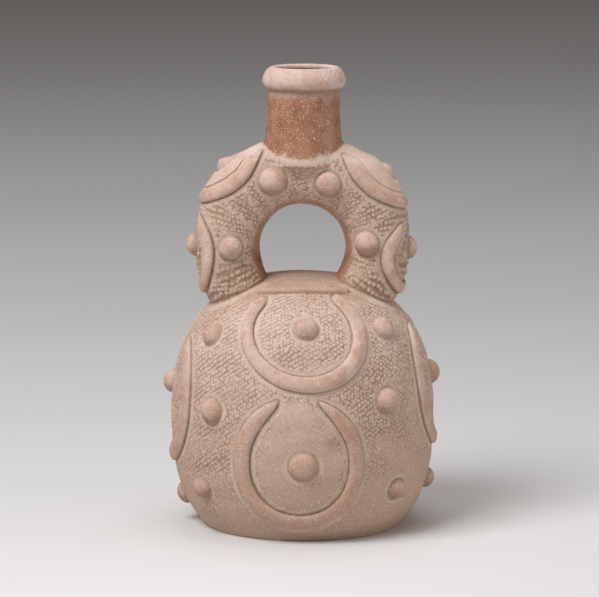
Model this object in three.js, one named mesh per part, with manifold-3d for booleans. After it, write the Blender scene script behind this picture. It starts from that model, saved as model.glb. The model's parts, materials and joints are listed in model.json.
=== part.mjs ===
// Stirrup spout bottle of fired clay, hand built in one piece and fired as one piece.
// A squat, flat-based belly carries two curved tubes that rise from its shoulders, meet in
// an arch and share one short spout. The outside carries raised crescents and round bosses.
// The inside is empty: the belly chamber, the arch and the spout are one open bore.
// Millimetres, +Z up, the front faces -Y, the origin is the centre of the flat base.

import * as THREE from 'three';
import { LoftGeometry } from 'three/addons/geometries/LoftGeometry.js';
import { mergeVertices } from 'three/addons/utils/BufferGeometryUtils.js';
import Module from 'manifold-3d';

const wasm = await Module();
wasm.setup();

// ---------------------------------------------------------------- driving dimensions

const HEIGHT = 240;

const BELLY = {
	radius: 68.8,
	widest: 57.5,        // height of the widest ring
	rise: 74,            // from the widest ring up to the crown of the dome
	squareness: 2.42,    // of the upper outline, where 2 would be an ellipse
	footSquareness: 2.6, // of the outline below the widest ring
	wall: 6,
	floor: 7,
	baseRound: 1.6,      // worn edge between side and base
};

const ARCH = {
	centre: 146,         // height of the middle of the round opening
	radius: 39.1,        // of the tube's centreline
	leftLeg: 48,         // radius of the centreline below the springing
	rightLeg: 41,        // the same, on a leg bent in a little more
	legDrop: 30,         // from the springing to the end of the tube inside the belly
	halfWidth: 16.7,     // of the tube, in the plane of the arch
	halfDepth: 19,       // of the tube, front to back
	footDepth: 2.4,      // how much the half depth gains at the foot
	shoulder: 3,         // how much further out the outer side stands at the crown
	squareness: 2.15,
	wall: 5,
};

const SPOUT = {
	boreRadius: 14.2,
	boreFloor: 182,      // where the bore opens into the arch
	mouthRadius: 15.6,
	rootRadius: 16,
	root: 178,           // height of the neck's end, inside the arch
	collarRadius: 25,
	collar: 190,         // height of the flare that meets the arch
	neckRadius: 18.8,    // just under the lip
	neckTop: 227.2,
	lipRadius: 22.4,
	lipWidest: 233.6,
};

const BOSS = {
	sunk: 2,             // into the wall
	rootWidth: 0.9,      // of the radius, at its sunk end
};

const CRESCENT = {
	sunk: 2.4,
	hornLead: 6,         // degrees that a horn's blunt end stands ahead of a point
	hornHeight: 0.35,    // of the ridge's full height, at a point
};

const BAR = {
	halfLength: 23,
	halfWidth: 2.3,
	reach: 31,           // of its middle, from the belly's axis towards the face
	bow: 7,              // how much nearer the axis its ends are
	crest: 1.6,
	edge: 0.5,
	sunk: 2,
};

// How many flats stand for each curve.
const FACETS = {
	bellySides: 40,
	bellyRings: 12,
	tubeSides: 14,
	tubeSteps: 24,
	spoutSides: 28,
	hollowSides: 20,
	hollowRings: 7,
	boreSides: 10,
	boreSteps: 14,
	bossSides: 9,
	bossRings: 2,
	crescentSteps: 15,
	smallCrescentSteps: 11,
	barSteps: 6,
};

const FRONT = - 1;
const BACK = 1;

const degrees = THREE.MathUtils.degToRad;

// ------------------------------------------------------------------------ surfaces

// Below zero inside the belly's outer skin, zero on it.
function bellyField( p ) {

	const squareness = p.z < BELLY.widest ? BELLY.footSquareness : BELLY.squareness;
	const across = Math.hypot( p.x, p.y ) / BELLY.radius;
	const up = Math.abs( p.z - BELLY.widest ) / BELLY.rise;
	return across ** squareness + up ** squareness - 1;

}

// Radius of the tube's centreline at a turn from the crown.
function archBend( turn ) {

	if ( Math.abs( turn ) <= 90 ) return ARCH.radius;
	return turn < 0 ? ARCH.leftLeg : ARCH.rightLeg;

}

// Turn at which a leg has dropped by a length below the springing.
function legEnd( bend, drop ) {

	return 90 + THREE.MathUtils.radToDeg( Math.asin( drop / bend ) );

}

// Middle of the stirrup's tube at a turn from the crown, in degrees towards +X. The turn
// also gives the direction that faces away from the opening.
function archMiddle( turn ) {

	const bend = archBend( turn );
	const outward = new THREE.Vector3( Math.sin( degrees( turn ) ), 0, Math.cos( degrees( turn ) ) );
	const point = outward.clone().multiplyScalar( bend );
	point.x += Math.sign( turn ) * ( ARCH.radius - bend );
	point.z += ARCH.centre;
	return { point, outward };

}

// Reach of the tube's skin from its middle at a turn: towards the outside of the arch,
// towards the opening, and to the front or back.
function archReach( turn ) {

	const up = 1 - Math.min( 1, Math.abs( turn ) / 90 ) ** 4;
	const down = Math.max( 0, Math.abs( turn ) / 90 - 1 );
	return {
		inner: ARCH.halfWidth,
		outer: ARCH.halfWidth + up * ARCH.shoulder,
		deep: ARCH.halfDepth + down * 2 * ARCH.footDepth,
	};

}

// Below zero inside the stirrup's outer skin, zero on it.
function archField( p ) {

	const below = ARCH.centre - p.z;
	const bend = archBend( Math.sign( p.x ) * ( below > 0 ? 91 : 0 ) );
	const side = Math.abs( p.x ) - ( ARCH.radius - bend );
	const reach = archReach( 90 + THREE.MathUtils.radToDeg( Math.atan2( below, side ) ) );
	const offset = Math.hypot( side, below ) - bend;
	const across = Math.abs( offset ) / ( offset > 0 ? reach.outer : reach.inner );
	const deep = Math.abs( p.y ) / reach.deep;
	return across ** ARCH.squareness + deep ** ARCH.squareness - 1;

}

// Point where a line from inside the solid leaves the skin.
function leave( field, inside, direction ) {

	const reach = 90;
	let low = 0;
	let high = reach;
	const at = ( t ) => inside.clone().addScaledVector( direction, t );
	for ( let i = 0; i < 40; i ++ ) {

		const middle = ( low + high ) / 2;
		if ( field( at( middle ) ) < 0 ) low = middle;
		else high = middle;

	}

	return at( low );

}

// Direction that faces out of the skin at a point on it.
function facing( field, p ) {

	const step = 0.05;
	const slope = new THREE.Vector3();
	for ( const axis of [ 'x', 'y', 'z' ] ) {

		const ahead = p.clone();
		const behind = p.clone();
		ahead[ axis ] += step;
		behind[ axis ] -= step;
		slope[ axis ] = field( ahead ) - field( behind );

	}

	return slope.normalize();

}

// A place for an ornament: a point on the skin, the way out, and the skin's own up and right.
function place( field, inside, direction ) {

	const point = leave( field, inside, direction.normalize() );
	const out = facing( field, point );
	const up = new THREE.Vector3( 0, 0, 1 ).addScaledVector( out, - out.z ).normalize();
	const right = new THREE.Vector3().crossVectors( up, out );
	return { field, point, out, up, right };

}

// On the belly, at an angle from the middle of one face and a height.
function onBelly( face, angle, height ) {

	const x = Math.sin( degrees( angle ) );
	const y = face * Math.cos( degrees( angle ) );
	return place( bellyField, new THREE.Vector3( 0, 0, height ), new THREE.Vector3( x, y, 0 ) );

}

// On the stirrup's tube, at a turn from the crown, tilted from the outer edge to one face.
function onArch( face, turn, tilt ) {

	const { point, outward } = archMiddle( turn );
	const direction = outward.multiplyScalar( Math.cos( degrees( tilt ) ) );
	direction.y = face * Math.sin( degrees( tilt ) );
	return place( archField, point, direction );

}

// ------------------------------------------------------------------------- solids

function solid( geometry ) {

	const bare = new THREE.BufferGeometry();
	bare.setAttribute( 'position', geometry.attributes.position );
	bare.setIndex( geometry.index );
	const welded = mergeVertices( bare, 1e-3 );
	return new wasm.Manifold( new wasm.Mesh( {
		numProp: 3,
		vertProperties: new Float32Array( welded.attributes.position.array ),
		triVerts: new Uint32Array( welded.index.array ),
	} ) );

}

// A profile of [ radius, height ] pairs turned about the vertical axis.
function turned( profile, sides ) {

	const points = profile.map( ( [ radius, height ] ) => new THREE.Vector2( radius, height ) );
	return solid( new THREE.LatheGeometry( points, sides ).rotateX( Math.PI / 2 ) );

}

// A sine or cosine, drawn out so that the circle it makes becomes a rounded square.
function rounded( value, squareness ) {

	return Math.sign( value ) * Math.abs( value ) ** ( 2 / squareness );

}

// The belly's side from a lowest height to the crown, as [ radius, height ] pairs.
function bellySide( inset, lowest, rings ) {

	const rise = BELLY.rise - inset;
	const start = - Math.asin( ( ( BELLY.widest - lowest ) / rise ) ** ( BELLY.footSquareness / 2 ) );
	const rows = [];
	for ( let i = 0; i < rings; i ++ ) {

		const a = THREE.MathUtils.lerp( start, Math.PI / 2, i / rings );
		const squareness = a < 0 ? BELLY.footSquareness : BELLY.squareness;
		const radius = ( BELLY.radius - inset ) * rounded( Math.cos( a ), squareness );
		rows.push( [ radius, BELLY.widest + rise * rounded( Math.sin( a ), squareness ) ] );

	}

	return [ ...rows, [ 0, BELLY.widest + rise ] ];

}

function bellyOutside() {

	const side = bellySide( 0, BELLY.baseRound, FACETS.bellyRings );
	const foot = side[ 0 ][ 0 ];
	return turned( [ [ 0, 0 ], [ foot - BELLY.baseRound, 0 ], ...side ], FACETS.bellySides );

}

function bellyChamber() {

	const side = bellySide( BELLY.wall, BELLY.floor, FACETS.hollowRings );
	return turned( [ [ 0, BELLY.floor ], ...side ], FACETS.hollowSides );

}

// The stirrup's tube, or its bore when inset from the skin, lofted from foot to foot.
function stirrup( inset, drop, steps, sides ) {

	const sections = [];
	for ( let i = 0; i <= steps; i ++ ) {

		const left = - legEnd( ARCH.leftLeg, drop );
		const right = legEnd( ARCH.rightLeg, drop );
		const turn = THREE.MathUtils.lerp( left, right, i / steps );
		const { point, outward } = archMiddle( turn );
		const reach = archReach( turn );
		const section = [];
		for ( let j = 0; j < sides; j ++ ) {

			const a = degrees( 360 * j / sides );
			const across = rounded( Math.cos( a ), ARCH.squareness );
			const deep = rounded( Math.sin( a ), ARCH.squareness );
			const width = ( across > 0 ? reach.outer : reach.inner ) - inset;
			const corner = point.clone().addScaledVector( outward, width * across );
			corner.y -= ( reach.deep - inset ) * deep;
			section.push( corner );

		}

		sections.push( section );

	}

	return solid( new LoftGeometry( sections, { capStart: true, capEnd: true } ) );

}

// The neck narrows from the flare over the arch, and the lip is a thick rounded roll.
function spoutOutside() {

	const { root, rootRadius, collar, collarRadius, neckTop, neckRadius, lipRadius, lipWidest } = SPOUT;
	const neck = [
		[ 0, root ],
		[ rootRadius, root ],
		[ collarRadius, collar ],
		[ neckRadius + 2.8, collar + 7 ],
		[ neckRadius + 1.6, collar + 13 ],
		[ neckRadius + 0.7, collar + 23 ],
		[ neckRadius, neckTop ],
	];
	const lip = [
		[ lipRadius - 2, neckTop + 1.8 ],
		[ lipRadius, lipWidest ],
		[ lipRadius - 1, HEIGHT - 3 ],
		[ lipRadius - 3.4, HEIGHT - 0.9 ],
		[ SPOUT.mouthRadius + 1.2, HEIGHT ],
		[ 0, HEIGHT ],
	];
	return turned( [ ...neck, ...lip ], FACETS.spoutSides );

}

function spoutBore() {

	return turned( [
		[ 0, SPOUT.boreFloor ],
		[ SPOUT.boreRadius, SPOUT.boreFloor ],
		[ SPOUT.boreRadius, HEIGHT - 6 ],
		[ SPOUT.mouthRadius, HEIGHT + 1 ],
		[ 0, HEIGHT + 1 ],
	], FACETS.hollowSides );

}

// ---------------------------------------------------------------------- ornaments

// A low round boss, sunk a little into the wall.
function boss( spot, radius, height ) {

	const profile = [
		new THREE.Vector2( 0, - BOSS.sunk ),
		new THREE.Vector2( radius * BOSS.rootWidth, - BOSS.sunk ),
	];
	for ( let i = 0; i <= FACETS.bossRings; i ++ ) {

		const a = Math.PI / 2 * i / FACETS.bossRings;
		profile.push( new THREE.Vector2( radius * Math.cos( a ), height * Math.sin( a ) ) );

	}

	profile[ profile.length - 1 ].x = 0;
	const axes = new THREE.Matrix4().makeBasis( spot.right.clone().negate(), spot.out, spot.up );
	axes.setPosition( spot.point );
	return solid( new THREE.LatheGeometry( profile, FACETS.bossSides ).applyMatrix4( axes ) );

}

// A raised crescent that lies on the skin. Its outer edge reaches the spread to both sides
// of the spot, the drop below it and the rise above it. Its horns point up and end at an
// opening, and its band narrows towards them.
function crescent( spot, shape ) {

	const { spread, drop, rise = drop, band, opening } = shape;
	const { taper = 50, lean = 0, height = 2.8, steps = FACETS.crescentSteps } = shape;
	const across = [ - 1, - 0.5, 0.5, 1 ];
	const inside = BELLY.wall * 2;
	const sections = [];
	for ( let i = 0; i <= steps; i ++ ) {

		const turn = THREE.MathUtils.lerp( opening, 360 - opening, i / steps );
		const fromHorn = Math.min( turn - opening, 360 - opening - turn );
		const fullness = Math.sin( Math.PI / 2 * Math.min( 1, ( fromHorn + CRESCENT.hornLead ) / taper ) );
		const half = band * fullness / 2;
		const crest = [];
		const root = [];
		for ( const s of across ) {

			const inset = half * ( 1 - s );
			const along = Math.cos( degrees( turn + lean ) );
			const start = spot.point.clone();
			start.addScaledVector( spot.right, ( spread - inset ) * Math.sin( degrees( turn + lean ) ) );
			start.addScaledVector( spot.up, ( ( along > 0 ? rise : drop ) - inset ) * along );
			start.addScaledVector( spot.out, - inside );
			const skin = leave( spot.field, start, spot.out );
			const out = facing( spot.field, skin );
			const grown = THREE.MathUtils.lerp( CRESCENT.hornHeight, 1, fullness );
			const lift = height * Math.sqrt( 1 - s * s ) * grown;
			crest.push( skin.clone().addScaledVector( out, lift ) );
			if ( Math.abs( s ) === 1 ) root.unshift( skin.clone().addScaledVector( out, - CRESCENT.sunk ) );

		}

		sections.push( [ ...crest, ...root ].reverse() );

	}

	return solid( new LoftGeometry( sections, { capStart: true, capEnd: true } ) );

}

// A straight ridge across the shoulder above the upper crescent.
function shoulderBar( face ) {

	const { halfLength, halfWidth, reach, bow, crest, edge, sunk } = BAR;
	const steps = FACETS.barSteps;
	const outline = [ [ - 1, - sunk ], [ - 1, edge ], [ 0, crest ], [ 1, edge ], [ 1, - sunk ] ];
	const sections = [];
	for ( let i = 0; i <= steps; i ++ ) {

		const x = THREE.MathUtils.lerp( - halfLength, halfLength, i / steps );
		const y = face * ( reach - bow * ( x / halfLength ) ** 2 );
		const middle = new THREE.Vector3( x, y, BELLY.widest );
		const skin = leave( bellyField, middle, new THREE.Vector3( 0, 0, 1 ) );
		const out = facing( bellyField, skin );
		const down = new THREE.Vector3( 0, face, 0 ).addScaledVector( out, - face * out.y ).normalize();
		const section = [];
		for ( const [ s, height ] of outline ) {

			const corner = skin.clone().addScaledVector( down, s * halfWidth );
			section.push( corner.addScaledVector( out, height ) );

		}

		sections.push( face === FRONT ? section : section.reverse() );

	}

	return solid( new LoftGeometry( sections, { capStart: true, capEnd: true } ) );

}

// The front is set out by eye, a little uneven, and the back repeats it.
function faceOrnaments( face ) {

	const upper = onBelly( face, 1, 110.5 );
	const lower = onBelly( face, - 1.4, 42.3 );
	return [
		crescent( upper, {
			spread: 32.8,
			drop: 32.5,
			rise: 27,
			band: 9.2,
			opening: 26,
			lean: 9 * face,
		} ),
		boss( onBelly( face, 0.5, 111 ), 7, 5.2 ),
		crescent( lower, { spread: 33.4, drop: 34.5, band: 8.6, opening: 16, taper: 44 } ),
		boss( onBelly( face, - 0.5, 42.5 ), 7, 4.6 ),
		boss( onBelly( face, - 53, 104.5 ), 5.6, 4.6 ),
		boss( onBelly( face, - 43, 69.2 ), 5.6, 4.6 ),
		boss( onBelly( face, - 52, 25.8 ), 5.2, 4.2 ),
		boss( onBelly( face, 49.4, 109.8 ), 5.6, 4.6 ),
		boss( onBelly( face, 39.9, 73.3 ), 5.6, 4.6 ),
		boss( onBelly( face, 48.5, 26 ), 5.2, 4.2 ),
		shoulderBar( face ),
		boss( onArch( face, - 23.5, 86 ), 7, 5 ),
		boss( onArch( face, 20, 94 ), 6.5, 4.6 ),
		boss( onArch( face, - 87.5, 94 ), 6.5, 5 ),
		boss( onArch( face, 84.5, 106 ), 6.6, 5 ),
	];

}

// Crescents and bosses on the two ends, in the plane of the stirrup.
function endOrnaments() {

	const onEnd = { spread: 33.5, drop: 35, band: 8.7, opening: 28 };
	const onShoulder = {
		spread: 20.5,
		drop: 23,
		rise: 20,
		band: 8,
		opening: 24,
		height: 2.6,
		steps: FACETS.smallCrescentSteps,
	};
	const onLeg = { spread: 17.5, drop: 22, band: 7.2, opening: 26, steps: FACETS.smallCrescentSteps };
	return [
		crescent( onBelly( FRONT, - 90, 71 ), onEnd ),
		boss( onBelly( FRONT, - 90, 76 ), 6.6, 5.4 ),
		boss( onBelly( FRONT, - 88, 14.8 ), 6, 4 ),
		crescent( onBelly( FRONT, 90, 74 ), onEnd ),
		boss( onBelly( FRONT, 90, 80 ), 6.6, 5.4 ),
		boss( onBelly( FRONT, 85, 25 ), 5.4, 4 ),
		crescent( onArch( FRONT, - 43, 0 ), onShoulder ),
		boss( onArch( FRONT, - 42, 0 ), 6.8, 4.8 ),
		crescent( onArch( FRONT, 48, 4 ), onShoulder ),
		boss( onArch( FRONT, 44.5, 0 ), 7, 3.6 ),
		crescent( onArch( FRONT, - 95, 0 ), onLeg ),
		boss( onArch( FRONT, - 90, 2 ), 6.4, 5 ),
		crescent( onArch( FRONT, 96, 14 ), onLeg ),
		boss( onArch( FRONT, 91, 6 ), 6.4, 4.4 ),
	];

}

// ------------------------------------------------------------------------- vessel

function vessel() {

	const boreDrop = ARCH.legDrop + 4;
	let body = bellyOutside();
	for ( const piece of [
		stirrup( 0, ARCH.legDrop, FACETS.tubeSteps, FACETS.tubeSides ),
		spoutOutside(),
		...faceOrnaments( FRONT ),
		...faceOrnaments( BACK ),
		...endOrnaments(),
	] ) body = body.add( piece );
	for ( const hollow of [
		bellyChamber(),
		stirrup( ARCH.wall, boreDrop, FACETS.boreSteps, FACETS.boreSides ),
		spoutBore(),
	] ) body = body.subtract( hollow );
	const { vertProperties, triVerts } = body.getMesh();
	const geometry = new THREE.BufferGeometry();
	geometry.setAttribute( 'position', new THREE.BufferAttribute( vertProperties, 3 ) );
	geometry.setIndex( new THREE.BufferAttribute( triVerts, 1 ) );
	geometry.computeVertexNormals();
	return geometry;

}

const clay = new THREE.MeshStandardMaterial( { color: 0xb8917a, roughness: 0.85, metalness: 0 } );

const bottle = new THREE.Mesh( vessel(), clay );
bottle.name = 'vessel';

const object = new THREE.Group();
object.name = 'stirrup_spout_vessel';
object.add( bottle );

export default object;
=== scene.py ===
# Stirrup spout bottle of fired clay, hand built and fired in one piece. The belly, the
# stirrup and the spout are shaped first, ridges and bosses are pressed on, the whole is
# worked into one body, the ground between the ridges is stippled, and the inside is hollow.

import json
import math

import bpy
import numpy as np
from mathutils import Matrix, Vector, kdtree

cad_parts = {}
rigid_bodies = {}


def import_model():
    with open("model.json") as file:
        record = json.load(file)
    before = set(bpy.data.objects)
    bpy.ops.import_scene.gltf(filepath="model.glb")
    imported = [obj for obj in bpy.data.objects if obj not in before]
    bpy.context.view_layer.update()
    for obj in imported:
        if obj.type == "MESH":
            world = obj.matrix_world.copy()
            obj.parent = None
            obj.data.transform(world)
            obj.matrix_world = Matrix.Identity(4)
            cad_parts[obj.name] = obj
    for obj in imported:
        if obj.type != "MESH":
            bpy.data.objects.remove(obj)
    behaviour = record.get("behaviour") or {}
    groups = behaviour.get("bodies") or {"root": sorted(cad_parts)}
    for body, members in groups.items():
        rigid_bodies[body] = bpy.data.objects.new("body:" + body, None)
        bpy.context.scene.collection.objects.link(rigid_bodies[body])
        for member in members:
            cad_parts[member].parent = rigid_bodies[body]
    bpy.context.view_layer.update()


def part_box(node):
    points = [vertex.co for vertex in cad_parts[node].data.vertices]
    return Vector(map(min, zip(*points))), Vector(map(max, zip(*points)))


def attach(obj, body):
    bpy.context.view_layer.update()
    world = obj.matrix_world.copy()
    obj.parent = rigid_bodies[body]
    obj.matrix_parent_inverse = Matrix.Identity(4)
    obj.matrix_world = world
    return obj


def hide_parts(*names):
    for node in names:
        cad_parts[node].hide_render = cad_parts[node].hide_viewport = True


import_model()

base_corner, top_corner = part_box("vessel")
mm = (top_corner.z - base_corner.z) / 240      # the bottle stands 240 mm tall

# ------------------------------------------------------------------------- the belly
# The body of the bottle is a squat, flat-based, round belly of buff clay, built of coils and
# scraped smooth. Its side swells a little more than an ellipse, above and below its middle.

BELLY_RADIUS = 68.8 * mm
BELLY_WIDEST = 57.5 * mm         # height of the widest ring
BELLY_RISE = 74 * mm             # from the widest ring to the crown
BELLY_FULLNESS = 2.42            # 2 would be an ellipse
FOOT_FULLNESS = 2.6              # the same, below the widest ring
BASE_ROUND = 1.6 * mm            # worn edge between the side and the base
BELLY_RINGS = 90
BELLY_SIDES = 160


def belly_radius(height, inset=0.0):
    """Radius of the belly's skin at a height, or of a wall set in from it."""
    above_widest = height - BELLY_WIDEST
    fullness = np.where(above_widest < 0, FOOT_FULLNESS, BELLY_FULLNESS)
    share = np.clip(np.abs(above_widest) / (BELLY_RISE - inset), 0, 1) ** fullness
    return (BELLY_RADIUS - inset) * (1 - share) ** (1 / fullness)


def close_up():
    """Turn all faces of the piece in hand outwards, and leave edit mode."""
    bpy.ops.mesh.select_all(action="SELECT")
    bpy.ops.mesh.normals_make_consistent(inside=False)
    bpy.ops.object.mode_set(mode="OBJECT")


def raise_wall(name, rings, sides, lean=0.0):
    """Raise a round, closed wall: a disc, extruded and widened or narrowed ring by ring. It
    may lean to the right, by a share of its rise."""
    bpy.ops.object.select_all(action="DESELECT")
    radius, height = rings[0]
    bpy.ops.mesh.primitive_circle_add(
        vertices=sides, radius=radius, fill_type="NGON", location=(0, 0, height)
    )
    wall = bpy.context.object
    wall.name = name
    bpy.ops.object.transform_apply(location=True)
    bpy.ops.object.mode_set(mode="EDIT")
    bpy.ops.mesh.select_all(action="SELECT")
    middle = 0.0
    for next_radius, next_height in rings[1:]:
        rise = next_height - height
        middle += lean * rise
        bpy.ops.mesh.extrude_region_move(
            TRANSFORM_OT_translate={"value": (lean * rise, 0, rise)}
        )
        widen = next_radius / radius
        bpy.ops.transform.resize(
            value=(widen, widen, 1), center_override=(middle, 0, next_height)
        )
        radius, height = next_radius, next_height
    close_up()
    return wall


def belly_rings(lowest, inset, count):
    """Rings of the belly's side, closer together where it turns in."""
    rise = BELLY_RISE - inset
    start = -math.asin(((BELLY_WIDEST - lowest) / rise) ** (FOOT_FULLNESS / 2))
    rings = []
    for turn in np.linspace(start, math.pi / 2, count, endpoint=False):
        fullness = FOOT_FULLNESS if turn < 0 else BELLY_FULLNESS
        rise_here = rise * abs(math.sin(turn)) ** (2 / fullness) * math.copysign(1, turn)
        radius = (BELLY_RADIUS - inset) * math.cos(turn) ** (2 / fullness)
        rings.append((radius, BELLY_WIDEST + rise_here))
    return rings


side_rings = belly_rings(BASE_ROUND, 0, BELLY_RINGS)
foot_radius = side_rings[0][0]
worn_edge = [
    (foot_radius - BASE_ROUND * (1 - math.sin(a)), BASE_ROUND * (1 - math.cos(a)))
    for a in np.linspace(0, math.pi / 2, 4, endpoint=False)
]
belly = raise_wall("belly", worn_edge + side_rings, BELLY_SIDES)


# ----------------------------------------------------------------------- the stirrup
# Two tubes of clay rise from the shoulders of the belly and bend to meet in a round arch.
# The tube is a soft oval, deeper than it is wide, thickest over the crown and at its feet.

ARCH_CENTRE = 146 * mm           # height of the middle of the round opening
ARCH_RADIUS = 39.1 * mm          # of the tube's centreline
LEFT_BEND = 48 * mm              # of the centreline below the springing
RIGHT_BEND = 41 * mm
LEG_DROP = 30 * mm               # from the springing to the end inside the belly
TUBE_HALF_WIDTH = 16.7 * mm
TUBE_HALF_DEPTH = 19 * mm
FOOT_DEPTH = 2.4 * mm            # gained in half depth at the feet
CROWN = 2.6 * mm                 # gained outwards over the crown
TUBE_FULLNESS = 2.15
TUBE_TURN = 18 * mm              # of skin round the tube to each radian
TUBE_SIDES = 72


def rounded(value, fullness):
    """A sine or cosine, drawn out so that the circle it makes becomes a fuller oval."""
    return np.sign(value) * np.abs(value) ** (2 / fullness)


def tube_reach(turn):
    """Reach of the tube's skin away from the opening, and to the front, at a turn."""
    share = np.abs(turn) / 90
    outer = TUBE_HALF_WIDTH + CROWN * (1 - np.minimum(1, share) ** 4)
    deep = TUBE_HALF_DEPTH + 2 * FOOT_DEPTH * np.maximum(0, share - 1)
    return outer, deep


def around_arch(points):
    """Turn from the crown in degrees, offset from the centreline, and bend, at each point."""
    below = ARCH_CENTRE - points[:, 2]
    leg = np.where(points[:, 0] < 0, LEFT_BEND, RIGHT_BEND)
    bend = np.where(below > 0, leg, ARCH_RADIUS)
    side = np.abs(points[:, 0]) - (ARCH_RADIUS - bend)
    turn = (90 + np.degrees(np.arctan2(below, side))) * np.where(points[:, 0] < 0, -1, 1)
    return turn, np.hypot(side, below) - bend, bend


def arch_middle(turn):
    """Middle of the tube at a turn in degrees, and the way that faces off the opening."""
    bend = ARCH_RADIUS
    if abs(turn) > 90:
        bend = LEFT_BEND if turn < 0 else RIGHT_BEND
    outward = np.array([math.sin(math.radians(turn)), 0, math.cos(math.radians(turn))])
    middle = outward * bend
    middle[0] += math.copysign(1, turn) * (ARCH_RADIUS - bend)
    middle[2] += ARCH_CENTRE
    return middle, outward


def stirrup_point(turn, around):
    """Points on the stirrup's skin, at turns in degrees and angles round the tube."""
    across = rounded(np.cos(around), TUBE_FULLNESS)
    depth = rounded(np.sin(around), TUBE_FULLNESS)
    outer, deep = tube_reach(turn)
    leg = np.where(turn < 0, LEFT_BEND, RIGHT_BEND)
    bend = np.where(np.abs(turn) > 90, leg, ARCH_RADIUS)
    reach = bend + np.where(across > 0, outer, TUBE_HALF_WIDTH) * across
    x = np.sign(turn) * (ARCH_RADIUS - bend) + reach * np.sin(np.radians(turn))
    return np.stack([x, deep * depth, ARCH_CENTRE + reach * np.cos(np.radians(turn))], axis=1)


def bend_tube(name, inset, drop, sides, step):
    """Bend a closed tube: an oval disc at the left foot, spun up, over and down to the right."""
    left_turn = math.asin(drop / LEFT_BEND)
    right_turn = math.asin(drop / RIGHT_BEND)
    start = -90 - math.degrees(left_turn)
    bpy.ops.object.select_all(action="DESELECT")
    bpy.ops.mesh.primitive_circle_add(
        vertices=sides,
        radius=TUBE_HALF_WIDTH - inset,
        fill_type="NGON",
        location=arch_middle(start)[0],
        rotation=(0, math.radians(start - 90), 0),
    )
    tube = bpy.context.object
    tube.name = name
    bpy.ops.object.transform_apply()
    bpy.ops.object.mode_set(mode="EDIT")
    bpy.ops.mesh.select_all(action="SELECT")
    deepen = (TUBE_HALF_DEPTH - inset) / (TUBE_HALF_WIDTH - inset)
    bpy.ops.transform.resize(value=(1, deepen, 1), center_override=(0, 0, 0))
    for turn, centre_x in (
        (left_turn, LEFT_BEND - ARCH_RADIUS),
        (math.pi, 0),
        (right_turn, ARCH_RADIUS - RIGHT_BEND),
    ):
        bpy.ops.mesh.spin(
            steps=round(math.degrees(turn) / step),
            angle=-turn,
            center=(centre_x, 0, ARCH_CENTRE),
            axis=(0, 1, 0),
        )
    bpy.ops.object.mode_set(mode="OBJECT")
    return tube


def knead_tube(tube, inset):
    """Press a plain bent tube into its soft oval, with its thicker crown and feet."""
    points = read_points(tube)
    turn, offset, bend = around_arch(points)
    side = offset / (TUBE_HALF_WIDTH - inset)
    front = points[:, 1] / (TUBE_HALF_DEPTH - inset)
    around = np.arctan2(front, side)
    across = rounded(np.cos(around), TUBE_FULLNESS)
    depth = rounded(np.sin(around), TUBE_FULLNESS)
    outer, deep = tube_reach(turn)
    full = np.hypot(front, side)
    reach = np.where(across > 0, outer, TUBE_HALF_WIDTH) - inset
    new_offset = full * reach * across
    signed = np.radians(turn)
    middle_x = np.sign(points[:, 0]) * (ARCH_RADIUS - bend)
    points[:, 0] = middle_x + (bend + new_offset) * np.sin(signed)
    points[:, 1] = full * (deep - inset) * depth
    points[:, 2] = ARCH_CENTRE + (bend + new_offset) * np.cos(signed)
    write_points(tube, points)


def read_points(piece):
    """Where a piece's vertices are, as rows of x, y, z."""
    flat = np.empty(len(piece.data.vertices) * 3)
    piece.data.vertices.foreach_get("co", flat)
    return flat.reshape(-1, 3)


def write_points(piece, points):
    """Move a piece's vertices."""
    piece.data.vertices.foreach_set("co", points.ravel())
    piece.data.update()


def bent_tube(name, inset, drop, sides, step):
    """A closed tube for the stirrup, or for its bore when set in from the skin."""
    tube = bend_tube(name, inset, drop, sides, step)
    knead_tube(tube, inset)
    bpy.ops.object.mode_set(mode="EDIT")
    close_up()
    return tube


stirrup = bent_tube("stirrup", 0, LEG_DROP, TUBE_SIDES, 2.5)


# ------------------------------------------------------------------------- the spout
# A short, straight neck of coiled and burnished clay stands on the crown of the arch. It
# flares where it is luted to the arch, and ends in a thick lip that slopes in to the mouth.

SPOUT_ROOT = 178 * mm            # height of the neck's end, inside the arch
SPOUT_ROOT_RADIUS = 16 * mm
SPOUT_LEAN = 0.014               # to the right, as a share of its rise
COLLAR = 190 * mm                # height of the flare's widest ring
COLLAR_RADIUS = 23.2 * mm
NECK_RADIUS = 18.5 * mm
NECK_TAPER = 1.5 * mm            # wider at the collar than under the lip
NECK_TOP = 228.2 * mm
LIP_RADIUS = 21.8 * mm
LIP_WIDEST = 232.4 * mm
LIP_TOP = 239.9 * mm
LIP_TOP_RADIUS = 16.8 * mm       # where the lip turns into the mouth
LIP_UNDER_FULLNESS = 1.5         # of the lip's section below its widest ring
LIP_FULLNESS = 1.7               # and above it, where 2 would be an ellipse
SPOUT_SIDES = 128


def spout_radius(height):
    """Radius of the neck's skin at a height, with its flare onto the arch."""
    down = np.clip((NECK_TOP - height) / (NECK_TOP - COLLAR), 0, 1)
    flare = COLLAR_RADIUS - NECK_RADIUS - NECK_TAPER
    return NECK_RADIUS + NECK_TAPER * down + flare * down ** 5


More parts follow.
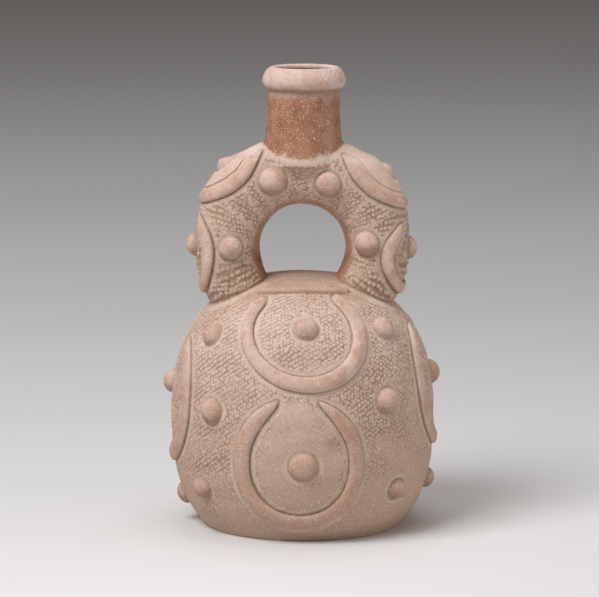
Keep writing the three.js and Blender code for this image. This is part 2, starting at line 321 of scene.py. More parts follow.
neck_rings = [(SPOUT_ROOT_RADIUS, SPOUT_ROOT)]
for height in np.linspace(COLLAR, NECK_TOP, 40):
    neck_rings.append((float(spout_radius(height)), height))
lip_rings = []
for a in np.linspace(0, math.pi / 2, 12)[1:]:
    out = math.sin(a) ** (2 / LIP_UNDER_FULLNESS)
    down = math.cos(a) ** (2 / LIP_UNDER_FULLNESS)
    radius = NECK_RADIUS + (LIP_RADIUS - NECK_RADIUS) * out
    lip_rings.append((radius, LIP_WIDEST - (LIP_WIDEST - NECK_TOP) * down))
for a in np.linspace(0, math.pi / 2, 16)[1:]:
    out = math.cos(a) ** (2 / LIP_FULLNESS)
    up = math.sin(a) ** (2 / LIP_FULLNESS)
    radius = LIP_TOP_RADIUS + (LIP_RADIUS - LIP_TOP_RADIUS) * out
    lip_rings.append((radius, LIP_WIDEST + (LIP_TOP - LIP_WIDEST) * up))
spout = raise_wall("spout", neck_rings + lip_rings, SPOUT_SIDES, SPOUT_LEAN)


# --------------------------------------------------------------------- the crescents
# Raised crescents of clay, horns up, lie on the belly and the stirrup. Each is a rolled
# coil, bent round and pressed onto the skin, blunt or tapered at its two horns.

FRONT, BACK = -1, 1
COIL_SIDES = 24
COIL_STEPS = 96
RIDGE_FULLNESS = 2.15            # of the ridge's section
RIDGE_SUNK = 2.4 * mm
HORN_LEAD = 1.5                  # degrees that a blunt horn stands ahead of a point
HORN_HEIGHT = 0.2                # of the ridge's height, at a point
LONGEST = 90 * mm                # from inside the clay to its skin
HALVINGS = 36


def belly_field(points):
    """Below zero inside the belly's skin, zero on it."""
    height = points[:, 2] - BELLY_WIDEST
    fullness = np.where(height < 0, FOOT_FULLNESS, BELLY_FULLNESS)
    across = np.hypot(points[:, 0], points[:, 1]) / BELLY_RADIUS
    return across ** fullness + (np.abs(height) / BELLY_RISE) ** fullness - 1


def stirrup_field(points):
    """Below zero inside the stirrup's skin, zero on it."""
    turn, offset, _ = around_arch(points)
    outer, deep = tube_reach(turn)
    across = np.abs(offset) / np.where(offset > 0, outer, TUBE_HALF_WIDTH)
    return across ** TUBE_FULLNESS + (np.abs(points[:, 1]) / deep) ** TUBE_FULLNESS - 1


def slope_of(field, points):
    """How fast a skin's field rises along x, y and z."""
    step = 0.05 * mm
    columns = []
    for way in np.eye(3) * step:
        columns.append((field(points + way) - field(points - way)) / (2 * step))
    return np.stack(columns, axis=1)


def facing(field, points):
    """The way out of the skin at each point."""
    slope = slope_of(field, points)
    return slope / np.linalg.norm(slope, axis=1, keepdims=True)


def leave(field, starts, way):
    """Where lines from inside the clay leave the skin, found by halving."""
    low = np.zeros(len(starts))
    high = np.full(len(starts), LONGEST)
    for _ in range(HALVINGS):
        middle = (low + high) / 2
        inside = field(starts + middle[:, None] * way) < 0
        low = np.where(inside, middle, low)
        high = np.where(inside, high, middle)
    return starts + low[:, None] * way


def walk(field, points, goal, far):
    """Points some distance along the skin from others, towards a goal."""
    steps = 6
    for _ in range(steps):
        out = facing(field, points)
        way = goal - points
        level = way - out * (way * out).sum(axis=1, keepdims=True)
        level /= np.linalg.norm(level, axis=1, keepdims=True)
        points = points + level * (far / steps)[:, None]
        points = points - facing(field, points) * skin_height(field, points)[:, None]
    return points


def skin_height(field, points):
    """How far points stand above a skin."""
    return field(points) / np.linalg.norm(slope_of(field, points), axis=1)


class Spot:
    """A place for an ornament: a point on the skin, the way out, and the skin's up and right."""

    def __init__(self, field, inside, way, depth):
        self.field = field
        self.point = leave(field, inside[None], way / np.linalg.norm(way))[0]
        self.out = facing(field, self.point[None])[0]
        up = np.array([0, 0, 1.0]) - self.out * self.out[2]
        self.up = up / np.linalg.norm(up)
        self.right = np.cross(self.up, self.out)
        self.depth = depth * mm      # from here to the middle of the clay


def on_belly(face, angle, height):
    """A spot at an angle from the middle of a face, and a height."""
    turn = math.radians(angle)
    way = np.array([math.sin(turn), face * math.cos(turn), 0])
    return Spot(belly_field, np.array([0, 0, height * mm]), way, 12)


def on_stirrup(face, turn, tilt):
    """A spot at a turn from the crown, tilted from the outer edge to one face."""
    middle, outward = arch_middle(turn)
    way = outward * math.cos(math.radians(tilt))
    way[1] = face * math.sin(math.radians(tilt))
    return Spot(stirrup_field, middle, way, 17)


def roll_coil():
    """Roll a straight coil of unit radius and length, with rings all along it."""
    bpy.ops.object.select_all(action="DESELECT")
    bpy.ops.mesh.primitive_circle_add(vertices=COIL_SIDES, radius=1, fill_type="NGON")
    rolled = bpy.context.object
    bpy.ops.object.mode_set(mode="EDIT")
    bpy.ops.mesh.select_all(action="SELECT")
    for _ in range(COIL_STEPS):
        bpy.ops.mesh.extrude_region_move(TRANSFORM_OT_translate={"value": (0, 0, 1 / COIL_STEPS)})
    close_up()
    return rolled


def copy_of(model, name):
    """A copy of a model, with a mesh of its own."""
    piece = model.copy()
    piece.data = model.data.copy()
    piece.name = name
    bpy.context.scene.collection.objects.link(piece)
    return piece


class Crescent:
    """A ridge round a spot: an oval of a spread to both sides and a reach up and down, leaned
    to the right, and open between its left and its right horn, in degrees from its top."""

    def __init__(self, spot, spread, reach, band, horns, taper=50, square=2.1, **ways):
        self.spot = spot
        self.spread = spread * mm
        self.reach = reach * mm
        self.band = band * mm
        self.horns = horns
        self.taper = taper                         # degrees over which a horn grows full
        self.square = square                       # of the oval, where 2 is an ellipse
        self.height = ways.get("height", 2.8) * mm
        self.lean = math.radians(ways.get("lean", 0))
        self.wider = ways.get("wider", 0)          # share the band gains on its right side

    def turns(self, share):
        """Turns in degrees at shares of the way from the right horn to the left one."""
        left, right = self.horns
        return right + (360 - left - right) * share

    def fullness(self, turn):
        """Share of the full band at a turn round the crescent."""
        left, right = self.horns
        from_horn = np.minimum(turn - right, 360 - left - turn)
        short = 1 - np.minimum(1, (from_horn + HORN_LEAD) / self.taper)
        return np.sqrt(1 - short ** 2) * (1 + self.wider * np.sin(np.radians(turn)))

    def level(self, side, high):
        """Steps to the right and up from the spot, leaned over."""
        right = side * math.cos(self.lean) + high * math.sin(self.lean)
        up = high * math.cos(self.lean) - side * math.sin(self.lean)
        return right[:, None] * self.spot.right + up[:, None] * self.spot.up

    def on_skin(self, turn, across):
        """Points on the skin, at turns round the crescent, from -1 inside to 1 outside."""
        sine, cosine = np.sin(np.radians(turn)), np.cos(np.radians(turn))
        side = self.spread * rounded(sine, self.square)
        high = self.reach * rounded(cosine, self.square)
        inset = self.band * self.fullness(turn) * (1 - across) / 2
        return walk(self.spot.field, self.edge(side, high), self.spot.point, inset)

    def edge(self, side, high):
        """Points on the skin, some way to the right of the spot and up."""
        start = self.spot.point + self.level(side, high) - self.spot.depth * self.spot.out
        return leave(self.spot.field, start, self.spot.out)

    def press(self, coil):
        """Bend a copy of the straight coil round and press it onto the skin."""
        ridge = copy_of(coil, "crescent")
        points = read_points(ridge)
        turn = self.turns(points[:, 2])
        around = np.arctan2(points[:, 1], points[:, 0])
        across = rounded(np.cos(around), RIDGE_FULLNESS)
        lift = np.abs(rounded(np.sin(around), RIDGE_FULLNESS))
        grown = HORN_HEIGHT + (1 - HORN_HEIGHT) * np.minimum(1, self.fullness(turn))
        lift = np.where(np.sin(around) > 0, lift * self.height * grown, -lift * RIDGE_SUNK)
        skin = self.on_skin(turn, across)
        write_points(ridge, skin + lift[:, None] * facing(self.spot.field, skin))
        return ridge


class LegCrescent(Crescent):
    """A crescent that wraps round the right leg, laid out along the tube's skin."""

    def __init__(self, turn, tilt, *shape, **ways):
        super().__init__(on_stirrup(FRONT, turn, tilt), *shape, **ways)
        self.turn = turn
        self.tilt = math.radians(tilt)

    def edge(self, side, high):
        turn = self.turn - np.degrees(high / (RIGHT_BEND + TUBE_HALF_WIDTH))
        return stirrup_point(turn, side / TUBE_TURN - self.tilt)


def face_crescents(face):
    """The two large crescents of one face."""
    upper = on_belly(face, 1, 109.8)
    lower = on_belly(face, -2, 42.8)
    return [
        Crescent(upper, 32.6, 30.7, 7.7, (74, -1), 15, 2, lean=34, wider=0.14, height=2.7),
        Crescent(lower, 33, 35.1, 8.5, (18, 19), 50, wider=-0.08, height=2.7),
    ]


def end_crescents():
    """The crescents in the plane of the stirrup, from the belly up to the shoulders."""
    return [
        Crescent(on_belly(FRONT, -90, 68.5), 36.6, 35.7, 8.7, (26, 26), 40, 2.2, height=2.2),
        Crescent(on_belly(FRONT, 90, 77), 32.7, 35.5, 8, (25, 24), 40, height=2.4),
        Crescent(on_stirrup(FRONT, -92.4, 0), 17.9, 22, 7.2, (23, 23), 34, 2.5, height=2.1),
        LegCrescent(94.1, 8, 24.4, 21.5, 7.2, (26, 26), 34, height=2.1),
    ]


def shoulder_crescents():
    """The crescents on the shoulders of the arch, whose insides are filled level."""
    return [
        Crescent(on_stirrup(FRONT, -42.6, 0), 18, 23.4, 7.4, (36, 36), 30, 2.35, height=2.6),
        Crescent(on_stirrup(FRONT, 43.8, 0), 18.5, 24.4, 7.4, (42, 42), 30, 2.6, height=2.3),
    ]


front_crescents = face_crescents(FRONT)
back_crescents = face_crescents(BACK)
side_crescents = end_crescents()
filled_crescents = shoulder_crescents()
crescents = front_crescents + back_crescents + side_crescents + filled_crescents
coil = roll_coil()
ridges = [crescent.press(coil) for crescent in crescents]

# ------------------------------------------------------------------------ the bosses
# Small round bosses of clay, a little flatter than half balls, are pressed on inside the
# crescents and between them. Their feet are smoothed down onto the skin.

BOSS_SUNK = 0.3                  # of the radius


def press_boss(ball, spot, radius, height):
    """Press a copy of the ball onto a spot, so that it stands out by its height."""
    boss = copy_of(ball, "boss")
    sink = BOSS_SUNK * height
    columns = (spot.right * radius, spot.up * radius, spot.out * (height + sink))
    turned = Matrix([list(row) for row in np.stack(columns, axis=1)]).to_4x4()
    turned.translation = Vector(spot.point - spot.out * sink)
    boss.data.transform(turned)
    return boss


def face_bosses(face):
    """Spots, radii and heights of the bosses on one face."""
    return [
        (on_belly(face, 1.6, 111), 6.7, 5.3),
        (on_belly(face, 0.1, 42.2), 7.6, 4.5),
        (on_belly(face, -53, 104.6), 6.2, 5),
        (on_belly(face, -43, 67.7), 7, 5),
        (on_belly(face, -51.6, 25.7), 6.2, 4.6),
        (on_belly(face, 48.4, 108.6), 6.6, 5),
        (on_belly(face, 39.6, 73.3), 7, 5),
        (on_belly(face, 47.5, 25.6), 5.8, 4.6),
        (on_stirrup(face, -23.1, 88.7), 7.6, 5.2),
        (on_stirrup(face, 20.8, 96.5), 6.8, 5),
        (on_stirrup(face, -88, 95.4), 6.6, 5.2),
        (on_stirrup(face, 83.6, 108.7), 6.9, 5.2),
    ]


def end_bosses():
    """Spots, radii and heights of the bosses in the plane of the stirrup."""
    return [
        (on_belly(FRONT, -90, 74.6), 6.8, 5.2),
        (on_belly(FRONT, -88, 14.8), 6.3, 4.2),
        (on_belly(FRONT, 90, 79.4), 6.7, 5),
        (on_belly(FRONT, 85, 23.8), 5.8, 4.4),
        (on_stirrup(FRONT, -42, 0), 6.8, 4.8),
        (on_stirrup(FRONT, 48, 0), 5.6, 3.9),
        (on_stirrup(FRONT, -89, 2), 6.4, 5),
        (on_stirrup(FRONT, 90.5, 6), 6.4, 4.2),
    ]


bpy.ops.object.select_all(action="DESELECT")
bpy.ops.mesh.primitive_uv_sphere_add(segments=48, ring_count=24, radius=1)
ball = bpy.context.object
bosses = face_bosses(FRONT) + face_bosses(BACK) + end_bosses()
knobs = [press_boss(ball, spot, radius * mm, height * mm) for spot, radius, height in bosses]

# ----------------------------------------------------------------- the shoulder bars
# A straight, low ridge of clay crosses each shoulder of the belly, between the feet of the
# stirrup and the upper crescent. Its ends bow back a little with the dome.

BAR_HALF_LENGTH = 23.5 * mm
BAR_HALF_WIDTH = 2.7 * mm
BAR_REACH = 29.9 * mm            # of its middle, from the belly's axis towards the face
BAR_BOW = 5.4 * mm
BAR_HEIGHT = 1.6 * mm


def press_bar(coil, face):
    """Lay a copy of the straight coil across the shoulder and press it down."""
    bar = copy_of(coil, "shoulder bar")
    points = read_points(bar)
    x = (2 * points[:, 2] - 1) * BAR_HALF_LENGTH
    y = face * (BAR_REACH - BAR_BOW * (x / BAR_HALF_LENGTH) ** 2)
    start = np.stack([x, y, np.full(len(x), BELLY_WIDEST)], axis=1)
    skin = leave(belly_field, start, np.array([0, 0, 1.0]))
    out = facing(belly_field, skin)
    down = np.array([0, float(face), 0]) - out * (face * out[:, 1])[:, None]
    down /= np.linalg.norm(down, axis=1, keepdims=True)
    lift = np.where(points[:, 1] > 0, points[:, 1] * BAR_HEIGHT, points[:, 1] * RIDGE_SUNK)
    write_points(bar, skin + (points[:, 0] * BAR_HALF_WIDTH)[:, None] * down + lift[:, None] * out)
    return bar


bars = [press_bar(coil, FRONT), press_bar(coil, BACK)]

# -------------------------------------------------------------- worked into one body
# The coils, bosses, tubes and belly are luted together while damp, so the bottle is one
# body of clay. All of them are fused here into a single skin, and its seams smoothed over.

FUSING = 0.43 * mm


def pick(*pieces):
    """Select some pieces and nothing else, with the first one active."""
    bpy.ops.object.select_all(action="DESELECT")
    for piece in pieces:
        piece.select_set(True)
    bpy.context.view_layer.objects.active = pieces[0]


def apply_modifier(piece, kind, **settings):
    """Give a piece a modifier, and apply it at once."""
    pick(piece)
    modifier = piece.modifiers.new(kind.lower(), kind)
    for name, value in settings.items():
        setattr(modifier, name, value)
    bpy.ops.object.modifier_apply(modifier=modifier.name)


def drop_crumbs(piece):
    """Delete all that isn't joined to the top of a piece."""
    pick(piece)
    top = int(read_points(piece)[:, 2].argmax())
    bpy.ops.object.mode_set(mode="EDIT")
    bpy.ops.mesh.select_mode(type="VERT")
    bpy.ops.mesh.select_all(action="DESELECT")
    bpy.ops.object.mode_set(mode="OBJECT")
    piece.data.vertices[top].select = True
    bpy.ops.object.mode_set(mode="EDIT")
    bpy.ops.mesh.select_linked()
    bpy.ops.mesh.select_all(action="INVERT")
    bpy.ops.mesh.delete(type="VERT")
    bpy.ops.object.mode_set(mode="OBJECT")


pick(belly, stirrup, spout, *ridges, *knobs, *bars)
bpy.ops.object.join()
bottle = bpy.context.object
bottle.name = "stirrup_bottle"
for model in (coil, ball):
    bpy.data.objects.remove(model)
apply_modifier(bottle, "REMESH", mode="VOXEL", voxel_size=FUSING)
drop_crumbs(bottle)
apply_modifier(bottle, "SMOOTH", factor=0.5, iterations=2)

# ------------------------------------------------- the tooled and worn surface
# While the clay is leather hard the ground between the ridges is stippled with small
# rounded bumps in slanting rows, and a thin line is drawn round each crescent and boss.
# Handling has worn the bumps down, most low on the belly and inside the lower crescents.

BUMP_ROWS = 2.0 * mm             # between the rows
BUMP_STEP = 2.05 * mm            # along a row
BUMP_SLANT = math.radians(31)    # of the rows on the belly, up to the right
BUMP_HEIGHT = 0.62 * mm
BUMP_REACH = 1.08 * mm
BUMP_FULLNESS = 2.2              # of a bump's section
BUMP_WAVE = 0.5 * mm             # by which a row on the belly sways
RING_WAVE = 1.4                  # degrees by which a ring on the stirrup sways
FOOT_START = 98                  # degrees from the crown to the first coarse row
FOOT_SPAN = 42                   # degrees of coarse rows
FOOT_ROWS = 3.0 * mm             # between the coarse rows on the feet of the stirrup
FOOT_STEP = 2.4 * mm
FOOT_REACH = 1.35 * mm
FOOT_GAIN = 1.4                  # in height, of the coarse bumps
MARGIN = 9 * mm                  # round a crescent, that its distance is measured over
OUTLINE_POINTS = 150
DISC_DEPTH = 17 * mm             # from a crescent's spot to the skin inside its outline
LINE_OFF_BAND = 1.7 * mm         # from a crescent's edge to its drawn line
LINE_OFF_BOSS = 1.0 * mm
LINE_WIDTH = 0.36 * mm
LINE_DEPTH = 0.42 * mm
DISC_LEVEL = 1.9 * mm            # of the filled shoulder discs, over the arch's skin
NECK_SKIN_FOOT = 193.6 * mm      # height of the burnished skin's lower edge, in front
NECK_SKIN_RISE = 5.2 * mm        # and how much higher the edge is over the arch
PLAIN_BACK = 0.5                 # share of the stipple that is missing behind
BAND_CUT = 0.55 * mm             # how deep the ground is cut back at a crescent's foot
BOSS_CUT = 0.3 * mm
FOOT_CUT = 0.6 * mm              # and where the stirrup's feet stand on the belly
LIP_PITS = 0.26 * mm
UNEVEN = 0.15 * mm               # of the hand-scraped skin
GRAIN = 0.04 * mm
hand = np.random.default_rng(11)


def ease(value, low, high):
    """From 0 at low to 1 at high, smoothly."""
    share = np.clip((value - low) / (high - low), 0, 1)
    return share * share * (3 - 2 * share)


def patches(points, size, seed):
    """Soft, uneven patches of about a size, from -1 to 1."""
    waves = np.random.default_rng(seed)
    total = np.zeros(len(points))
    for _ in range(9):
        way = waves.normal(size=3)
        way *= 2 * math.pi / (size * waves.uniform(0.7, 1.6) * np.linalg.norm(way))
        total += np.sin(points @ way + waves.uniform(0, 2 * math.pi))
    return np.clip(total / 3, -1, 1)


def belly_bumps():
    """Middles of the bumps on the belly: slanting rows over its front, and over its back."""
    heights = np.linspace(2 * mm, BELLY_WIDEST + BELLY_RISE - 1 * mm, 4000)
    radii = belly_radius(heights)
    climbs = np.concatenate([[0], np.cumsum(np.hypot(np.diff(heights), np.diff(radii)))])
    count = int(260 * mm / BUMP_STEP)
    row, place = np.mgrid[-count:count, -count:count]
    along = (place + 0.5 * (row % 2)) * BUMP_STEP
    across = row * BUMP_ROWS + BUMP_WAVE * np.sin(along / (7 * mm) + 0.7 * row)
    sideways = along * math.cos(BUMP_SLANT) - across * math.sin(BUMP_SLANT)
    climb = along * math.sin(BUMP_SLANT) + across * math.cos(BUMP_SLANT)
    on_side = (climb > 0) & (climb < climbs[-1])
    height = np.interp(climb[on_side], climbs, heights)
    radius = belly_radius(height)
    angle = sideways[on_side] / radius
    kept = np.abs(angle) < math.pi / 2
    height, radius, angle = height[kept], radius[kept], angle[kept]
    front = np.stack([radius * np.sin(angle), -radius * np.cos(angle), height], axis=1)
    return np.concatenate([front, front * (-1, -1, 1)])


def arch_bumps():
    """Middles of the bumps on the arch: uneven rings round the tube, closer on its inside."""
    rows = []
    step = math.degrees(BUMP_ROWS / (ARCH_RADIUS + 6 * mm))
    for number in range(round(FOOT_START / step)):
        for side in (-1, 1):
            rows.append(ring_of_bumps(side * (number + 0.5) * step, BUMP_STEP, number))
    return np.concatenate(rows)


def ring_of_bumps(turn, step, number):
    """One ring of bumps round the tube, at a turn; every other ring is half a step on."""
    count = round(2 * math.pi * TUBE_TURN / step)
    around = (np.arange(count) + 0.5 * (number % 2)) * 2 * math.pi / count
    return stirrup_point(turn + RING_WAVE * np.sin(3 * around + number), around)


def foot_bumps():
    """Middles of the coarse bumps on the feet: even rings round each leg."""
    rows = []
    for side, bend in ((-1, LEFT_BEND), (1, RIGHT_BEND)):
        step = math.degrees(FOOT_ROWS / bend)
        for number in range(round(FOOT_SPAN / step)):
            rows.append(ring_of_bumps(side * (FOOT_START + number * step), FOOT_STEP, number))
    return np.concatenate(rows)


def nearest(tree, points, wanted):
    """Number of the nearest of the tree's points to each wanted point, and how far it is."""
    which = np.zeros(len(points), int)
    far = np.full(len(points), 1.0)
    for i in np.flatnonzero(wanted):
        _, which[i], far[i] = tree.find(points[i])
    return which, far


def tree_of(points):
    """A tree to look up the nearest of some points."""
    tree = kdtree.KDTree(len(points))
    for i, point in enumerate(points):
        tree.insert(point, i)
    tree.balance()
    return tree


def bumps_over(points, wanted, middles, reach):
    """Height of a bump at each point, from 0 between the bumps to about 1 on their tops."""
    middles = middles + hand.normal(scale=0.2 * reach, size=middles.shape)
    tops = hand.uniform(0.55, 1.2, size=len(middles))
    which, far = nearest(tree_of(middles), points, wanted)
    share = np.clip(far / reach, 0, 1)
    return np.where(wanted, (1 - share ** BUMP_FULLNESS) * tops[which], 0)


def off_crescents(points, chosen):
    """Distance from the nearest edge of some crescents, below zero on their bands."""
    far = np.full(len(points), 1.0)
    for crescent in chosen:
        reach = max(crescent.spread, crescent.reach) + MARGIN
        near = np.linalg.norm(points - crescent.spot.point, axis=1) < reach
        turn = crescent.turns(np.linspace(0, 1, OUTLINE_POINTS))
        middle = crescent.on_skin(turn, 0 * turn)
        half = crescent.band * crescent.fullness(turn) / 2
        away = points[near]
        square = (away ** 2).sum(1)[:, None] + (middle ** 2).sum(1) - 2 * away @ middle.T
        far[near] = np.minimum(far[near], (np.sqrt(np.maximum(0, square)) - half).min(axis=1))
    return far


def within(points, chosen):
    """1 inside the outlines of some crescents, 0 outside them."""
    inside = np.zeros(len(points))
    for crescent in chosen:
        away = points - crescent.spot.point
        right, up = away @ crescent.spot.right, away @ crescent.spot.up
        side = right * math.cos(crescent.lean) - up * math.sin(crescent.lean)
        high = up * math.cos(crescent.lean) + right * math.sin(crescent.lean)
        near = np.abs(away @ crescent.spot.out) < DISC_DEPTH
        out = np.abs(side / crescent.spread) ** crescent.square
        out += np.abs(high / crescent.reach) ** crescent.square
        inside = np.maximum(inside, near * (1 - ease(out ** (1 / crescent.square), 0.84, 0.96)))
    return inside


def off_bosses(points):
    """Distance from the foot of the nearest boss, below zero on it."""
    far = np.full(len(points), 1.0)
    for spot, radius, _ in bosses:
        far = np.minimum(far, np.linalg.norm(points - spot.point, axis=1) - radius * mm)
    return far


def line_at(distance, place, width):
    """1 along a line at a distance, 0 away from it."""
    return np.exp(-((distance - place) / width) ** 2)


points = read_points(bottle)
normals = np.empty(points.size)
bottle.data.vertices.foreach_get("normal", normals)
normals = normals.reshape(-1, 3)
x, y, z = points.T
turn, offset, _ = around_arch(points)
over_belly = skin_height(belly_field, points)
over_stirrup = skin_height(stirrup_field, points)
over_skin = np.minimum(over_belly, over_stirrup)
on_belly_skin = over_belly < over_stirrup
from_band = off_crescents(points, crescents)
from_boss = off_bosses(points)

# The neck's skin ends in a ring that sits astride the arch.
neck_x = x - SPOUT_LEAN * (z - SPOUT_ROOT)
over_spout = np.hypot(neck_x, y) - spout_radius(z)
sideways = np.minimum(1, 1.15 * (neck_x / COLLAR_RADIUS) ** 2)
neck_foot = z - NECK_SKIN_FOOT - NECK_SKIN_RISE * sideways
on_spout = ease(neck_foot, -0.5 * mm, 0.5 * mm)
on_spout *= np.maximum(1 - ease(over_spout, 0.6 * mm, 1.6 * mm), z > 210 * mm)
below_spout = (1 - on_spout) * ease(neck_foot, -4 * mm, -0.4 * mm) * (z > 180 * mm)

# Where the ground is stippled, and how strongly.
ground = 1 - ease(over_skin, 0.35 * mm, 0.9 * mm)
collar = (np.hypot(neck_x, y) < COLLAR_RADIUS + 1.2 * mm) * (z < 193 * mm)
collar = collar * ease(z, 174 * mm, 176 * mm)        # the flare below the burnished skin
collar *= (from_boss > 0.3 * mm) * (from_band > 0.3 * mm)
ground = np.maximum(ground, collar)
margin = ease(from_band, LINE_OFF_BAND + 0.2 * mm, LINE_OFF_BAND + 1 * mm)
margin *= ease(from_boss, LINE_OFF_BOSS + 0.2 * mm, LINE_OFF_BOSS + 1 * mm)
above_base = ease(z, 5 * mm, 12 * mm)
crown = (1 - ease(np.abs(y), 32 * mm, 34 * mm)) * ease(z, 119 * mm, 123 * mm) * on_belly_skin
inner_arch = (1 - ease(offset / TUBE_HALF_WIDTH, -0.9, -0.7)) * ~on_belly_skin
off_foot = np.where(on_belly_skin, over_stirrup, 4 * over_belly)
foot_crease = ease(off_foot, 3 * mm, 5 * mm)
foot_edge = line_at(over_belly, 0.7 * mm, 0.6 * mm) * line_at(over_stirrup, 0.4 * mm, 0.9 * mm)
foot_edge *= z < 130 * mm
low = 1 - ease(z, 16 * mm, 44 * mm)
low_right = ease(x, -5 * mm, 32 * mm) * (1 - ease(z, 44 * mm, 72 * mm))
lower_insides = within(points, [front_crescents[1], back_crescents[1]])
worn = 1 + 0.3 * patches(points, 20 * mm, 5) - 0.7 * low
worn -= 0.62 * low_right + 0.85 * lower_insides
sheltered = line_at(from_band, LINE_OFF_BAND + 1.7 * mm, 1.1 * mm) * on_belly_skin
sheltered *= 0.45 + 0.45 * patches(points, 9 * mm, 6)
worn = np.maximum(np.clip(worn, 0.08, 1), sheltered)
discs = within(points, filled_crescents)
strength = ground * margin * above_base * (1 - crown) * (1 - inner_arch) * foot_crease
strength *= (neck_foot < -3.4 * mm) * (1 - discs) * worn
strength *= 1 - PLAIN_BACK * ease(y, 5 * mm, 25 * mm)

stippled = strength > 0.01
feet = np.abs(turn) > FOOT_START
on_tube = points - normals * (over_stirrup * collar)[:, None]
bump = bumps_over(points, stippled & on_belly_skin, belly_bumps(), BUMP_REACH)
bump += bumps_over(on_tube, stippled & ~on_belly_skin & ~feet, arch_bumps(), BUMP_REACH)
bump += FOOT_GAIN * bumps_over(points, stippled & ~on_belly_skin & feet, foot_bumps(), FOOT_REACH)

# Lines drawn round the ornaments, and the ground cut back at their feet.
lines = line_at(from_band, LINE_OFF_BAND, LINE_WIDTH) * ground * (1 - crown) * (1 - discs)
lines = np.maximum(lines, line_at(from_boss, LINE_OFF_BOSS, LINE_WIDTH) * ground)
lines *= 0.72 + 0.28 * patches(points, 14 * mm, 8)
disc_lines = line_at(from_band, 0.9 * mm, 0.4 * mm) * discs
disc_lines *= ease(patches(points, 16 * mm, 9), -0.3, 0.3)
below_bar = BAR_REACH + 3 * mm - BAR_BOW * (x / BAR_HALF_LENGTH) ** 2
bar_line = line_at(np.abs(y), below_bar, 0.45 * mm) * (np.abs(x) < BAR_HALF_LENGTH)
bar_line *= on_belly_skin * (z > 110 * mm)
foot_of_band = line_at(from_band, 0.1 * mm, 0.55 * mm) * ground * (1 - discs)
foot_of_boss = line_at(from_boss, 0.1 * mm, 0.5 * mm) * ease(over_skin, 2.2 * mm, 1 * mm)

# Unevenness of hand work and wear, and pits in the lip.
uneven = UNEVEN * patches(points, 17 * mm, 21) + GRAIN * patches(points, 3.4 * mm, 22)
lip = ease(z, 226.6 * mm, 228.4 * mm)
pocked = ease(patches(points, 1.7 * mm, 31), 0.4, 0.8) * (0.3 + 0.7 * ease(x, -8 * mm, 16 * mm))
standing = ease(z, 0.4 * mm, 3 * mm)                 # the underside stays flat

relief = BUMP_HEIGHT * strength * (bump - 0.5)
relief -= LINE_DEPTH * np.maximum.reduce([lines, bar_line, 0.7 * disc_lines])
relief -= BAND_CUT * foot_of_band + BOSS_CUT * foot_of_boss + FOOT_CUT * foot_edge

# The shoulder discs are filled level, and all that rises on the arch fades out by the neck.
near_neck = ease(z, 190 * mm, 196 * mm) * ease(over_spout, 0.1 * mm, 0.8 * mm) * (z < 206 * mm)
filling = np.maximum(0, DISC_LEVEL - over_stirrup) * discs * (1 - on_spout) * (1 - near_neck)
relief += filling * ~on_belly_skin
relief -= near_neck * np.clip(over_stirrup - 0.6 * mm, 0, 2.4 * mm) * ~on_belly_skin
relief += uneven * (1 - 0.6 * on_spout) - LIP_PITS * lip * pocked
relief = np.where(lip > 0, np.minimum(relief, 0), relief) * standing
write_points(bottle, points + normals * relief[:, None])

# ------------------------------------------------------------------------ the hollow
# The bottle is empty, with walls about 5 to 6 mm thick. The belly's chamber opens up both
# legs into the arch, and the arch opens into the spout, so one way leads from lip to floor.

WALL = 6 * mm
FLOOR = 7 * mm
TUBE_WALL = 5 * mm
BORE_RADIUS = 14.2 * mm
MOUTH_RADIUS = 14.6 * mm
BORE_FLOOR = 182 * mm            # where the spout's bore opens into the arch
PAINT_REACH = 1.5 * mm           # from the whole bottle's skin to the hollow one's
TRIANGLES = 196000               # of the whole bottle, when it is done


def cut_away(piece, tool):
    """Cut a closed shape out of a piece."""
    apply_modifier(piece, "BOOLEAN", operation="DIFFERENCE", solver="MANIFOLD", object=tool)
    bpy.data.objects.remove(tool)


def triangles_of(piece):
    """How many triangles a piece has."""
    return sum(len(face.vertices) - 2 for face in piece.data.polygons)


made_points = read_points(bottle)
chamber_rings = belly_rings(FLOOR, WALL, 20)
chamber = raise_wall("chamber", chamber_rings, 48)
arch_bore = bent_tube("arch bore", TUBE_WALL, LEG_DROP + 4 * mm, 28, 7.5)
spout_bore = raise_wall(
    "spout bore",
    [
        (BORE_RADIUS, BORE_FLOOR),
        (BORE_RADIUS, LIP_TOP - 6 * mm),
        (MOUTH_RADIUS, LIP_TOP - 2.4 * mm),
        (MOUTH_RADIUS + 0.7 * mm, LIP_TOP - 0.8 * mm),
        (MOUTH_RADIUS + 2.2 * mm, LIP_TOP + 0.4 * mm),
    ],
    64,
    SPOUT_LEAN,
)
hollow_triangles = sum(triangles_of(tool) for tool in (chamber, arch_bore, spout_bore))
apply_modifier(
    bottle, "DECIMATE", ratio=(TRIANGLES - hollow_triangles) / triangles_of(bottle)
)
for tool in (chamber, arch_bore, spout_bore):
    cut_away(bottle, tool)

pick(bottle)
bpy.ops.object.shade_smooth_by_angle(angle=math.radians(70))

# -------------------------------------------------------------- the fired clay itself
# Unglazed buff clay fired to a pinkish brown, with painted shade that darkens the stirrup and
# the crown under the arch to an olive brown. Raised parts are scuffed redder, dust stays pale
# in the hollows, shade is painted dark at the feet of the ornaments, under the bosses and the
# lip, between the bumps and inside, light is painted on the bump tops, and the neck and the
# inner side of the arch keep a burnished, darker skin.


def paint(piece, name, values):
    """Keep a value at each vertex of a piece, for its material."""
    layer = piece.data.attributes.new(name, "FLOAT", "POINT")
    layer.data.foreach_set("value", values.astype(np.float32))


